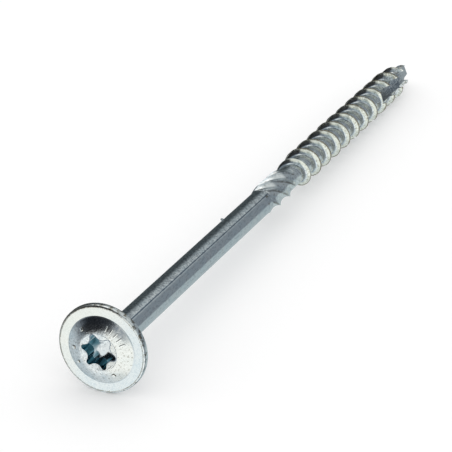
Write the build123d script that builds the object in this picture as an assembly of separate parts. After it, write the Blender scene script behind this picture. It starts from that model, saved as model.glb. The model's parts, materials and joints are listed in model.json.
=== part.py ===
from build123d import *
from math import asin, ceil, cos, degrees, floor, radians, sin, tan
import os

# Washer-head timber screw, 6 x 130 mm, zinc-plated steel, one forged and rolled piece.
# It is modelled along +Z, from the seat under the head (height 0) to the tip, and laid down at the end.
# Angles are in degrees about +Z from +X, the side that faces the floor once the screw lies.

# Head
head_radius = 7.0
flange_thickness = 1.25
rim_top_bevel = 0.28
rim_seat_bevel = 0.36
dome_foot_radius = 5.3
dome_rise = 1.05
dome_bulge = 0.2

# Six-lobe drive recess, size 30
lobe_count = 6
recess_across_lobes = 5.6
recess_across_teeth = 3.95
recess_lobe_round = 0.45
recess_depth = 2.4
recess_floor_half_angle = 80.0
recess_mouth_margin = 0.06
recess_mouth_half_angle = 60.0
recess_turn = 38.8

# Neck and plain shank
shank_radius = 2.15
neck_margin = 1.55
neck_length = 2.9

# Length along the axis, from the seat to the tip
total_length = 130.0
thread_length = 61.0
reamer_gap = 0.4
reamer_length = 10.6

# Reamer: steep ribs that widen the hole for the shank
rib_count = 6
rib_lead = 25.3
rib_turn = 17.5
rib_crest_radius = 2.6
rib_valley_radius = 2.03
rib_grow_length = 3.0
rib_sink_length = 2.4
rib_hidden_start = 1.2

# Thread: one right-hand ridge
pitch = 4.78
crest_radius = 3.05
core_radius = 2.02
head_side_flank_angle = 26.0
tip_side_flank_angle = 29.0
root_rise = 0.2
root_angle = 64.0
foot_depth = 0.2
thread_start_turn = 335.9
run_in_turns = 1.1
first_size = 0.1

# Point
core_taper_length = 16.0
point_length = 7.5
point_core_radius = 1.72
tip_core_radius = 0.85
crest_taper_length = 10.4
crest_taper_power = 1.7
tip_crest_radius = 1.15
tip_margin = 0.6

# Slot milled along the point
slot_width = 2.1
slot_floor_height = 0.25
slot_cutter_radius = 9.0
slot_length = 13.4
slot_overshoot = 5.0
slot_turn = 246.0

# How many sections carry the turning forms
reamer_steps = 7
loft_turn = 180.0
loft_steps = 4

# Heights of the zones
head_top = -flange_thickness - dome_rise
thread_start = total_length - thread_length
reamer_end = thread_start - reamer_gap
shank_end = reamer_end - reamer_length
reamer_start = shank_end - rib_hidden_start
core_taper_start = total_length - core_taper_length
point_start = total_length - point_length
crest_taper_start = total_length - crest_taper_length


def around(radius, angle, height):
    """The point at a radius, an angle and a height."""
    return Vector(radius * cos(radians(angle)), radius * sin(radians(angle)), height)


def smooth(share):
    """An even S from 0 to 1 as the share runs from 0 to 1, flat beyond both."""
    held = min(max(share, 0.0), 1.0)
    return held * held * (3 - 2 * held)


def between(low, high, share):
    """The value that lies a share of the way from low to high."""
    return low + (high - low) * share


def core_at(height):
    """The core's radius: even, then a long cone, then the steeper cone of the point."""
    if height < point_start:
        share = max(height - core_taper_start, 0) / (core_taper_length - point_length)
        return between(core_radius, point_core_radius, share)
    return between(point_core_radius, tip_core_radius, (height - point_start) / point_length)


# Body of revolution: dome, flange, neck, shank, core and blunt point, as one outline
mouth_radius = recess_across_lobes / 2 + recess_mouth_margin
neck_radius = shank_radius + neck_margin
dome_middle = ((dome_foot_radius + mouth_radius) / 2, 0, -flange_thickness - dome_rise / 2 - dome_bulge)
dome = ThreePointArc((mouth_radius, 0, head_top), dome_middle, (dome_foot_radius, 0, -flange_thickness))
profile = [
    (dome_foot_radius, 0, -flange_thickness),
    (head_radius - rim_top_bevel, 0, -flange_thickness),
    (head_radius, 0, rim_top_bevel - flange_thickness),
    (head_radius, 0, -rim_seat_bevel),
    (head_radius - rim_seat_bevel, 0, 0),
    (neck_radius, 0, 0),
    (shank_radius, 0, neck_length),
    (shank_radius, 0, shank_end),
    (core_radius, 0, shank_end),
    (core_radius, 0, core_taper_start),
    (point_core_radius, 0, point_start),
    (tip_core_radius, 0, total_length),
    (0, 0, total_length),
    (0, 0, head_top),
    (mouth_radius, 0, head_top),
]
body = revolve(make_face(Wire([dome] + list(Polyline(*profile).edges()))), Axis.Z, 360)

# Drive recess: rounded lobes and teeth that meet at a tangent, a cone floor and a countersunk mouth
half_lobe = 180 / lobe_count
lobe_reach = recess_across_lobes / 2 - recess_lobe_round
tooth_reach = recess_across_teeth / 2
lobe_over = lobe_reach * cos(radians(half_lobe))
tooth_round = (lobe_reach**2 + tooth_reach**2 - 2 * tooth_reach * lobe_over - recess_lobe_round**2) / (
    2 * (recess_lobe_round + lobe_over - tooth_reach)
)
wall_edges = []
for lobe_number in range(lobe_count):
    angle = recess_turn + 2 * half_lobe * lobe_number
    lobe = around(lobe_reach, angle, head_top)
    next_lobe = around(lobe_reach, angle + 2 * half_lobe, head_top)
    tooth_before = around(tooth_reach + tooth_round, angle - half_lobe, head_top)
    tooth_after = around(tooth_reach + tooth_round, angle + half_lobe, head_top)
    lobe_from = lobe + (tooth_before - lobe).normalized() * recess_lobe_round
    lobe_to = lobe + (tooth_after - lobe).normalized() * recess_lobe_round
    tooth_to = next_lobe + (tooth_after - next_lobe).normalized() * recess_lobe_round
    wall_edges.append(ThreePointArc(lobe_from, around(recess_across_lobes / 2, angle, head_top), lobe_to))
    wall_edges.append(ThreePointArc(lobe_to, around(tooth_reach, angle + half_lobe, head_top), tooth_to))
floor_rise = mouth_radius / tan(radians(recess_floor_half_angle))
walls = extrude(make_face(Wire(wall_edges)), recess_depth + floor_rise, dir=(0, 0, 1))
reach = make_face(
    Polyline(
        (0, 0, head_top),
        (mouth_radius, 0, head_top),
        (mouth_radius, 0, head_top + recess_depth - floor_rise / 2),
        (0, 0, head_top + recess_depth + floor_rise / 2),
        close=True,
    )
)
mouth_depth = mouth_radius / tan(radians(recess_mouth_half_angle))
mouth = Pos(0, 0, head_top + mouth_depth / 2) * Cone(mouth_radius, 0, mouth_depth)
body = body - (walls & revolve(reach, Axis.Z, 360)) - mouth


# Reamer: its section turns as it rises, and its ends are sunk in the shank and in the core
rib_spacing = 360 / rib_count


def reamer_section(height):
    """The reamer's section at a height: ribs with sharp crests and one hollow arc between each two."""
    grown = smooth((height - reamer_start) / rib_grow_length)
    sunk = smooth((height - reamer_end) / rib_sink_length + 1)
    buried = core_radius - foot_depth / 2
    crest = between(between(buried, rib_crest_radius, grown), buried, sunk)
    valley = between(between(buried, rib_valley_radius, grown), buried, sunk)
    turned = rib_turn + 360 * (height - shank_end) / rib_lead
    hollows = []
    for rib in range(rib_count):
        crest_from = around(crest, turned + rib_spacing * rib, height)
        bottom = around(valley, turned + rib_spacing * (rib + 0.5), height)
        crest_to = around(crest, turned + rib_spacing * (rib + 1), height)
        hollows.append(ThreePointArc(crest_from, bottom, crest_to))
    return Wire(hollows)


reamer_heights = [between(reamer_start, reamer_end, step / reamer_steps) for step in range(reamer_steps + 1)]
reamer = Solid.make_loft([reamer_section(height) for height in reamer_heights])


# Thread: the ridge grows out of the core, runs at full size and shrinks over the point
full_depth = crest_radius - core_radius + foot_depth
root_depth = root_rise + foot_depth
root_width = root_depth * tan(radians(root_angle))
head_side_width = (full_depth - root_depth) * tan(radians(head_side_flank_angle))
tip_side_width = (full_depth - root_depth) * tan(radians(tip_side_flank_angle))


def ridge_section(turned):
    """The ridge's section after so many degrees: a sharp crest, two flanks and a wider foot below each."""
    angle = thread_start_turn + turned
    height = thread_start + pitch * turned / 360
    grown = between(first_size, 1, 1 - max(1 - turned / 360 / run_in_turns, 0) ** 2)
    shrunk = (max(height - crest_taper_start, 0) / crest_taper_length) ** crest_taper_power
    foot = core_at(height) - foot_depth
    crest = between(foot, between(crest_radius, tip_crest_radius, shrunk), grown)
    size = (crest - foot) / full_depth
    root = foot + root_depth * size
    corners = [
        around(crest, angle, height),
        around(root, angle, height + tip_side_width * size),
        around(foot, angle, height + (tip_side_width + root_width) * size),
        around(foot, angle, height - (head_side_width + root_width) * size),
        around(root, angle, height - head_side_width * size),
    ]
    return Polyline(*corners, close=True)


# It is lofted piece by piece, and the flanks of all the lofts are sewn to one shell
ridge_turn = (total_length - tip_margin - thread_start) / pitch * 360
piece_count = ceil(ridge_turn / loft_turn)
pieces = []
for piece in range(piece_count):
    turns = [ridge_turn * (piece + step / loft_steps) / piece_count for step in range(loft_steps + 1)]
    pieces.append(Solid.make_loft([Wire(ridge_section(turned).edges()) for turned in turns]))
sides = [face for piece in pieces for face in piece.faces() if face.geom_type != GeomType.PLANE]
ends = [make_face(ridge_section(turned)).face() for turned in (0, ridge_turn)]
thread = Solid(Shell(sides + ends))

# Slot: open on one side and at the tip, with a floor that rises on the cutter's arc at the other end
slot_clear = crest_radius + slot_cutter_radius
slot_from = total_length - slot_length
slot_reach = slot_length + slot_overshoot
slot_middle = Pos(slot_floor_height + slot_clear / 2, 0, slot_from + slot_reach / 2)
slot = slot_middle * Box(slot_clear, slot_width, slot_reach)
cutter = Pos(slot_floor_height + slot_cutter_radius, 0, slot_from) * Rot(90, 0, 0) * Cylinder(
    slot_cutter_radius, slot_width
)
slot = Rot(0, 0, slot_turn) * (slot + cutter)
screw = body + reamer + thread - slot

# The screw lies on the rim of its head and on the last full crest that faces the floor
full_turns = floor(((crest_taper_start - thread_start) / pitch * 360 + thread_start_turn) / 360)
last_down = thread_start + pitch * (360 * full_turns - thread_start_turn) / 360
rest_tilt = degrees(asin((head_radius - crest_radius) / (last_down + flange_thickness / 2)))
lying = Rot(0, 90 + rest_tilt, 0) * screw
reach_box = lying.bounding_box()
lying = Pos(-reach_box.center().X, -reach_box.center().Y, -reach_box.min.Z) * lying

os.makedirs("parts", exist_ok=True)
export_step(lying, "parts/screw.step")
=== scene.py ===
"""Looks of a zinc-plated washer-head timber screw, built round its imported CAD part."""

import json
import logging
import math
from dataclasses import dataclass, replace
from enum import Enum

import bpy
from mathutils import Matrix, Vector

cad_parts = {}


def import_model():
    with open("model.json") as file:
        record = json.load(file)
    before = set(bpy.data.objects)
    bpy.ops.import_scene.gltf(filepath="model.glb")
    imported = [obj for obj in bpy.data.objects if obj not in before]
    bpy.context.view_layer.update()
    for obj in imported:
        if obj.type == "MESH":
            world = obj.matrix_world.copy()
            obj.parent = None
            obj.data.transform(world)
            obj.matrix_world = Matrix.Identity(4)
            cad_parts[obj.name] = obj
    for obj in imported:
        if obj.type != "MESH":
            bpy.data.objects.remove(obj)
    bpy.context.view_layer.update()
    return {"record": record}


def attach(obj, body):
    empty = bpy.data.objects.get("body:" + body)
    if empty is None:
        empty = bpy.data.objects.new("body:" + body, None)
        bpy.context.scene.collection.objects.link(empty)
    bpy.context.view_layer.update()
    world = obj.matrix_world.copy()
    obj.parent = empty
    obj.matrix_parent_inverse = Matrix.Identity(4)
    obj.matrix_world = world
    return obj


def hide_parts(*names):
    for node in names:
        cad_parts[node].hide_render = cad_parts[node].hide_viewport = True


log = logging.getLogger("screw")

NODE = "screw"
BODY = "root"
MILLIMETRE = 0.001
AROUND = 120
MERGE = 1e-4
SMOOTH_ANGLE = 34.0


class Joining(Enum):
    """What a second solid does to the screw."""

    ADDED = "UNION"
    CUT_OUT = "DIFFERENCE"


def smooth(share: float) -> float:
    """An even S from 0 to 1, flat beyond both ends."""
    held = min(max(share, 0.0), 1.0)
    return held * held * (3 - 2 * held)


def between(low: float, high: float, share: float) -> float:
    """The value a share of the way from low to high."""
    return low + (high - low) * share


def arc(centre: tuple[float, float], radius: float, start: float, end: float, steps: int) -> list:
    """Points of an arc in the (radius, height) plane.

    Args:
        centre: The arc's centre.
        radius: Its radius.
        start: Its first angle in degrees, from the radius direction towards the height.
        end: Its last angle in degrees.
        steps: How many chords it has.

    Returns:
        The points, both ends included.
    """
    angles = [math.radians(between(start, end, step / steps)) for step in range(steps + 1)]
    return [(centre[0] + radius * math.cos(a), centre[1] + radius * math.sin(a)) for a in angles]


def polar(radius: float, angle: float) -> Vector:
    """The point at a radius and an angle in radians, in the plane across the screw."""
    return Vector((math.cos(angle), math.sin(angle))) * radius


def nothing_selected() -> None:
    """Leaves edit mode and deselects every object."""
    if bpy.context.object and bpy.context.object.mode != "OBJECT":
        bpy.ops.object.mode_set(mode="OBJECT")
    bpy.ops.object.select_all(action="DESELECT")


def make_active(piece: bpy.types.Object) -> None:
    """Makes one piece the only selected and the active one.

    Args:
        piece: The piece.
    """
    nothing_selected()
    piece.select_set(True)
    bpy.context.view_layer.objects.active = piece


def apply_modifier(piece: bpy.types.Object, modifier: bpy.types.Modifier) -> None:
    """Applies one modifier of a piece."""
    make_active(piece)
    bpy.ops.object.modifier_apply(modifier=modifier.name)


@dataclass(frozen=True)
class Place:
    """Where the screw lies: its seat's centre and its axis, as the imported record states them."""

    seat: Vector
    axis: Vector

    @classmethod
    def from_record(cls, record: dict) -> "Place":
        """Reads the place from the record's bearing face."""
        mount = next(m for m in record["mounts"] if m["name"] == "bearing_face")
        return cls(Vector(mount["pos_m"]), Vector(mount["axis"]).normalized())

    def matrix(self) -> Matrix:
        """From millimetres along the screw to metres in the frame.

        Returns:
            The matrix.
        """
        across = Vector((0.0, 1.0, 0.0))
        down = across.cross(self.axis)
        turn = Matrix((down, across, self.axis)).transposed().to_4x4()
        return Matrix.Translation(self.seat) @ turn @ Matrix.Scale(MILLIMETRE, 4)


@dataclass(frozen=True)
class Head:
    """The washer head: flange, shallow dome and six-lobe recess, in millimetres."""

    radius: float = 7.0
    flange: float = 1.25
    rim_round: float = 0.34
    seat_round: float = 0.42
    round_steps: int = 7
    dome_foot: float = 5.3
    dome_rise: float = 1.05
    dome_swell: float = 0.72
    dome_rings: int = 11
    foot_bevel: float = 0.05
    annulus_ring: float = 0.5
    lobes: int = 6
    across_lobes: float = 5.6
    across_teeth: float = 3.95
    lobe_round: float = 0.45
    lobe_steps: int = 10
    depth: float = 2.4
    floor_half_angle: float = 80.0
    mouth_margin: float = 0.06
    mouth_half_angle: float = 82.0
    mouth_rings: tuple = (0.45, 0.7, 0.9, 0.985)
    eye: float = 0.35
    lip_width: float = 0.03
    lip_fall: float = 0.012
    recess_turn: float = 38.8
    coined_width: float = 0.13
    coined_depth: float = 0.022
    cutter_clearance: float = 1.0

    @property
    def top(self) -> float:
        """Height of the dome's flat top."""
        return -self.flange - self.dome_rise

    @property
    def mouth(self) -> float:
        """Radius of the recess's countersunk mouth."""
        return self.across_lobes / 2 + self.mouth_margin

    @property
    def lip(self) -> float:
        """Radius at which the dome meets the mouth's lip."""
        return self.mouth + self.lip_width

    def cone_depth(self, half_angle: float) -> float:
        """Depth of a cone that is as wide as the mouth."""
        return self.mouth / math.tan(math.radians(half_angle))

    def dome_at(self, radius: float) -> tuple[float, float]:
        """The dome's height at a radius, and how much it falls per millimetre there.

        Args:
            radius: Distance from the axis.

        Returns:
            The height and the fall.
        """
        run = self.dome_foot - self.lip
        share = (radius - self.lip) / run
        height = between(self.top, -self.flange, share) - self.dome_swell * share * (1 - share)
        slope = (self.dome_rise - self.dome_swell * (1 - 2 * share)) / run
        return height, slope

    def outline(self) -> list[tuple[float, float]]:
        """The head's outline from the mouth's cone over dome and rim to the seat.

        Returns:
            The points as (radius, height) pairs.
        """
        cone = self.cone_depth(self.mouth_half_angle)
        shares = (self.eye / self.mouth, *self.mouth_rings)
        points = [(self.mouth * share, self.top + cone * (1 - share)) for share in shares]
        points.append((self.lip, self.top - self.lip_fall))
        for ring in range(1, self.dome_rings):
            radius = between(self.lip, self.dome_foot, ring / self.dome_rings)
            points.append((radius, self.dome_at(radius)[0]))
        points.append((self.dome_foot, -self.flange - self.foot_bevel))
        points.append((self.dome_foot + self.foot_bevel, -self.flange))
        points.append((self.dome_foot + self.annulus_ring, -self.flange))
        rim_centre = (self.radius - self.rim_round, -self.flange + self.rim_round)
        points += arc(rim_centre, self.rim_round, -90, 0, self.round_steps)
        seat_centre = (self.radius - self.seat_round, -self.seat_round)
        points += arc(seat_centre, self.seat_round, 0, 90, self.round_steps)
        return points

    def cutter_outline(self) -> list[tuple[float, float]]:
        """The recess's walls as (x, y) points: lobes and teeth that meet at a tangent.

        Returns:
            The points, once round.
        """
        half = math.pi / self.lobes
        reach = self.across_lobes / 2 - self.lobe_round
        tooth = self.across_teeth / 2
        over = reach * math.cos(half)
        tooth_round = (reach**2 + tooth**2 - 2 * tooth * over - self.lobe_round**2) / (
            2 * (self.lobe_round + over - tooth)
        )
        points = []
        for number in range(self.lobes):
            angle = math.radians(self.recess_turn) + 2 * half * number
            lobe = polar(reach, angle)
            following = polar(reach, angle + 2 * half)
            before = polar(tooth + tooth_round, angle - half)
            after = polar(tooth + tooth_round, angle + half)
            points += self.sweep(lobe, self.lobe_round, before - lobe, after - lobe, lobe)
            points += self.sweep(after, tooth_round, lobe - after, following - after, -after)[1:-1]
        return points

    def sweep(self, centre: Vector, radius: float, start: Vector, end: Vector, through: Vector) -> list:
        """Points of an arc that runs from one direction to another through a third.

        Args:
            centre: The arc's centre.
            radius: Its radius.
            start: Direction of its first point.
            end: Direction of its last point.
            through: Direction of its middle.

        Returns:
            The points as (x, y) pairs.
        """
        middle = math.atan2(through.y, through.x)
        low = (math.atan2(start.y, start.x) - middle + math.pi) % (2 * math.pi) - math.pi
        high = (math.atan2(end.y, end.x) - middle + math.pi) % (2 * math.pi) - math.pi
        steps = self.lobe_steps
        angles = [middle + between(low, high, step / steps) for step in range(steps + 1)]
        return [(centre.x + radius * math.cos(a), centre.y + radius * math.sin(a)) for a in angles]


@dataclass(frozen=True)
class Shaft:
    """Neck, plain shank, reamer, thread and point, in millimetres from the seat."""

    shank: float = 2.15
    neck_margin: float = 1.55
    neck_length: float = 2.9
    seat_rings: tuple = (0.5, 0.1)
    neck_rings: tuple = (0.0, 0.3, 0.6, 0.9)
    neck_foot: float = 0.06
    neck_fade: float = 0.25
    plain_rings: int = 14
    plain_gaps: tuple = (0.6, 0.3)
    length: float = 130.0
    thread_length: float = 61.0
    reamer_gap: float = 0.4
    reamer_length: float = 10.6
    ribs: int = 6
    rib_lead: float = 25.3
    rib_turn: float = 17.5
    rib_crest: float = 2.6
    rib_valley: float = 2.03
    rib_sharpness: float = 2.2
    rib_grow: float = 3.0
    rib_sink: float = 2.4
    rib_hidden: float = 1.2
    rib_ring_step: float = 0.2
    bridge_gap: float = 0.15
    pitch: float = 4.78
    crest: float = 3.05
    core: float = 2.02
    crest_round: float = 0.07
    head_side_width: float = 0.62
    head_side_hollow: float = 1.75
    tip_side_width: float = 0.98
    tip_side_hollow: float = 2.0
    flank_rows: tuple = (0.0, 0.06, 0.13, 0.22, 0.33, 0.46, 0.62, 0.8, 1.0)
    core_rows: tuple = (1.35, 1.8)
    lead_in_turns: int = 2
    crest_waves: tuple = ((0.018, 0.23, 0.0), (0.014, 0.61, 1.0), (0.01, 1.7, 2.0))
    nicks: tuple = ((2140.0, 0.3), (2862.0, 0.34), (4296.0, 0.3), (3580.0, 0.16))
    nick_reach: float = 4.5
    thread_turn: float = 335.9
    run_in_turns: float = 1.1
    first_size: float = 0.1
    core_taper: float = 16.0
    point_length: float = 7.5
    point_core: float = 1.72
    tip_core: float = 0.85
    crest_taper: float = 10.4
    crest_power: float = 1.7
    tip_crest: float = 1.15

    @property
    def thread_start(self) -> float:
        """Height at which the ridge starts."""
        return self.length - self.thread_length

    @property
    def reamer_end(self) -> float:
        """Height at which the ribs end."""
        return self.thread_start - self.reamer_gap

    @property
    def shank_end(self) -> float:
        """Height at which the plain shank ends."""
        return self.reamer_end - self.reamer_length

    @property
    def reamer_start(self) -> float:
        """Height at which the ribs start inside the shank."""
        return self.shank_end - self.rib_hidden

    def outline(self) -> list[tuple[float, float]]:
        """The outline from the seat over neck and plain shank to the reamer's end, still round there.

        Returns:
            The points as (radius, height) pairs.
        """
        neck = self.shank + self.neck_margin
        points = [(neck + margin, 0.0) for margin in self.seat_rings]
        for share in self.neck_rings:
            radius = between(neck, self.shank, share)
            points.append((radius, between(self.neck_foot, self.neck_length, share)))
        points.append((self.shank, self.neck_length + self.neck_fade))
        low = self.neck_length + self.plain_gaps[0]
        high = self.reamer_start - self.plain_gaps[1]
        for ring in range(self.plain_rings + 1):
            points.append((self.shank, between(low, high, ring / self.plain_rings)))
        for ring in range(round((self.reamer_end - self.reamer_start) / self.rib_ring_step)):
            points.append((self.shank, self.reamer_start + self.rib_ring_step * ring))
        return points

    def row_offsets(self) -> list[float]:
        """Offsets from the crest over one pitch at which the ridge gets its rows of points.

        Returns:
            The offsets, from half a pitch before the crest to half a pitch past it.
        """
        half = self.pitch / 2
        tip_side = [self.crest_round + self.tip_side_width * row for row in self.flank_rows]
        head_side = [-self.crest_round - self.head_side_width * row for row in self.flank_rows]
        before = [-half, *[-row for row in reversed(self.core_rows)], *reversed(head_side)]
        return [*before, 0.0, *tip_side, *self.core_rows, half]

    def rib_angle(self, height: float) -> float:
        """Angle of the first rib's crest at a height, in radians."""
        return math.radians(self.rib_turn + 360 * (height - self.shank_end) / self.rib_lead)

    def reamer_radius(self, share: float, height: float) -> float:
        """The reamer's radius at a share of the way from one rib's crest to the next.

        Args:
            share: The share, 0 and 1 on a crest.
            height: Height from the seat.

        Returns:
            The radius.
        """
        grown = smooth((height - self.reamer_start) / self.rib_grow)
        sunk = smooth((height - self.reamer_end) / self.rib_sink + 1)
        crest = between(between(self.core, self.rib_crest, grown), self.core, sunk)
        valley = between(between(self.core, self.rib_valley, grown), self.core, sunk)
        return between(valley, crest, abs(1 - 2 * share) ** self.rib_sharpness)

    def core_at(self, height: float) -> float:
        """The core's radius: even, then a long cone, then the steeper cone of the point.

        Args:
            height: Height from the seat.

        Returns:
            The radius.
        """
        point_start = self.length - self.point_length
        if height < point_start:
            share = max(height - (self.length - self.core_taper), 0) / (self.core_taper - self.point_length)
            return between(self.core, self.point_core, share)
        return between(self.point_core, self.tip_core, (height - point_start) / self.point_length)

    def ridge_size(self, turned: float, height: float) -> float:
        """The ridge's size after so many degrees, 1 where it is full.

        Args:
            turned: Degrees from the ridge's start.
            height: Height from the seat.

        Returns:
            The size, as a share of the full height over the core.
        """
        if turned < 0:
            return 0.0
        grown = between(self.first_size, 1, 1 - max(1 - turned / 360 / self.run_in_turns, 0) ** 2)
        taper_start = self.length - self.crest_taper
        shrunk = (max(height - taper_start, 0) / self.crest_taper) ** self.crest_power
        crest = between(self.crest, self.tip_crest, shrunk)
        core = self.core_at(height)
        return grown * max(crest - core, 0) / (self.crest - self.core)

    def ridge_rise(self, offset: float, size: float) -> float:
        """How far the ridge stands over the core at an offset from its crest.

        Args:
            offset: Distance from the crest along the screw, towards the tip above 0.
            size: The ridge's size there.

        Returns:
            The height over the core, 0 beyond the ridge's foot.
        """
        if size <= 0:
            return 0.0
        towards_tip = offset > 0
        width = (self.tip_side_width if towards_tip else self.head_side_width) * size
        hollow = self.tip_side_hollow if towards_tip else self.head_side_hollow
        away = max(abs(offset) - self.crest_round * size, 0) / width
        if away >= 1:
            return 0.0
        return (self.crest - self.core) * size * (1 - away) ** hollow

    def crest_share(self, turned: float) -> float:
        """What share of its height the ridge keeps after so many degrees: waves and rolling nicks.

        Args:
            turned: Degrees from the ridge's start.

        Returns:
            The share, 1 where nothing is lost.
        """
        share = 1.0
        for size, rate, start in self.crest_waves:
            share += size * (math.sin(math.radians(turned * rate * 10) + start) - 1)
        for where, depth in self.nicks:
            share -= depth * math.exp(-(((turned - where) / self.nick_reach) ** 2))
        return share

    def thread_radius(self, angle: float, height: float) -> float:
        """The threaded stretch's radius at an angle in radians and a height.

        Args:
            angle: Angle about the axis in radians.
            height: Height from the seat.

        Returns:
            The radius, with the ridge.
        """
        turns = (height - self.thread_start) / self.pitch - (math.degrees(angle) - self.thread_turn) / 360
        offset = (turns - round(turns)) * self.pitch
        crest_height = height - offset
        turned = (crest_height - self.thread_start) / self.pitch * 360
        size = self.ridge_size(turned, crest_height)
        return self.core_at(height) + self.ridge_rise(offset, size) * self.crest_share(turned)


@dataclass(frozen=True)
class Marks:
    """Plain raised ticks and dots forged on the dome, and one bead of plating on the shank."""

    reach: float = 4.1
    ticks: tuple = (196.0, 208.0, 220.0, 232.0, 244.0)
    tick_size: tuple = (0.95, 0.3, 0.3)
    dots: tuple = (137.0, 88.0, 55.0, 325.0)
    dot_size: tuple = (0.6, 0.5, 0.3)
    rise: float = 0.14
    bead_turn: float = 137.0
    bead_height: float = 45.0
    bead_radius: float = 0.27
    bead_out: float = 0.4
    edge_round: float = 0.085
    edge_steps: int = 3

    def build(self, head: Head, shaft: Shaft) -> bpy.types.Object:
        """Makes all marks as one mesh that reaches a little into the screw.

        Args:
            head: The head they stand on.
            shaft: The shaft that has the bead.

        Returns:
            The marks.
        """
        pieces = [self.block(head, turn, self.tick_size) for turn in self.ticks]
        pieces += [self.block(head, turn, self.dot_size) for turn in self.dots]
        nothing_selected()
        turn = math.radians(self.bead_turn)
        radius = shaft.shank + self.bead_out * self.bead_radius
        where = (radius * math.cos(turn), radius * math.sin(turn), self.bead_height)
        bpy.ops.mesh.primitive_ico_sphere_add(subdivisions=3, radius=self.bead_radius, location=where)
        bpy.ops.object.transform_apply(location=True)
        pieces.append(bpy.context.object)
        make_active(pieces[0])
        for piece in pieces:
            piece.select_set(True)
        bpy.ops.object.join()
        return bpy.context.object

    def block(self, head: Head, turn: float, size: tuple) -> bpy.types.Object:
        """Makes one bevelled block that lies along the dome's slope.

        Args:
            head: The head it stands on.
            turn: Its angle about the screw's axis in degrees.
            size: Its length along the slope, its width and its thickness.

        Returns:
            The block, in place.
        """
        nothing_selected()
        bpy.ops.mesh.primitive_cube_add(size=1)
        block = bpy.context.object
        block.data.transform(Matrix.Diagonal((*size, 1)))
        rounding = block.modifiers.new("rounding", "BEVEL")
        rounding.width = self.edge_round
        rounding.segments = self.edge_steps
        apply_modifier(block, rounding)
        height, slope = head.dome_at(self.reach)
        lean = Matrix.Rotation(-math.atan(slope), 4, "Y")
        sunk = height + size[2] / 2 - self.rise
        around = Matrix.Rotation(math.radians(turn), 4, "Z")
        block.data.transform(around @ Matrix.Translation((self.reach, 0, sunk)) @ lean)
        return block


@dataclass(frozen=True)
class Slot:
    """The slot milled along the point, in millimetres."""

    width: float = 2.1
    floor: float = 0.25
    cutter_radius: float = 9.0
    length: float = 13.4
    overshoot: float = 5.0
    clearance: float = 1.0
    arc_steps: int = 16
    turn: float = 246.0

    def cutter(self, shaft: Shaft) -> bpy.types.Object:
        """The milled space as a block whose end is the cutter's arc.

        Args:
            shaft: The shaft it is cut out of.

        Returns:
            The block, in place.
        """
        start = shaft.length - self.length
        end = shaft.length + self.overshoot
        top = shaft.crest + self.clearance
        reach = math.degrees(math.acos(1 - (top - self.floor) / self.cutter_radius))
        centre = (self.floor + self.cutter_radius, start)
        rounding = arc(centre, self.cutter_radius, 180, 180 + reach, self.arc_steps)
        side = [(self.floor, end), *rounding, (top, end)]
        nothing_selected()
        bpy.ops.mesh.primitive_circle_add(vertices=len(side), radius=1, fill_type="NGON")
        cutter = bpy.context.object
        cutter.name = "cutter"
        for vertex, (x, z) in zip(cutter.data.vertices, side):
            vertex.co = (x, -self.width / 2, z)
        bpy.ops.object.mode_set(mode="EDIT")
        bpy.ops.mesh.select_mode(type="FACE")
        bpy.ops.mesh.select_all(action="SELECT")
        bpy.ops.mesh.extrude_region_move(TRANSFORM_OT_translate={"value": (0, self.width, 0)})
        bpy.ops.object.mode_set(mode="OBJECT")
        cutter.data.transform(Matrix.Rotation(math.radians(self.turn), 4, "Z"))
        return cutter


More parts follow.
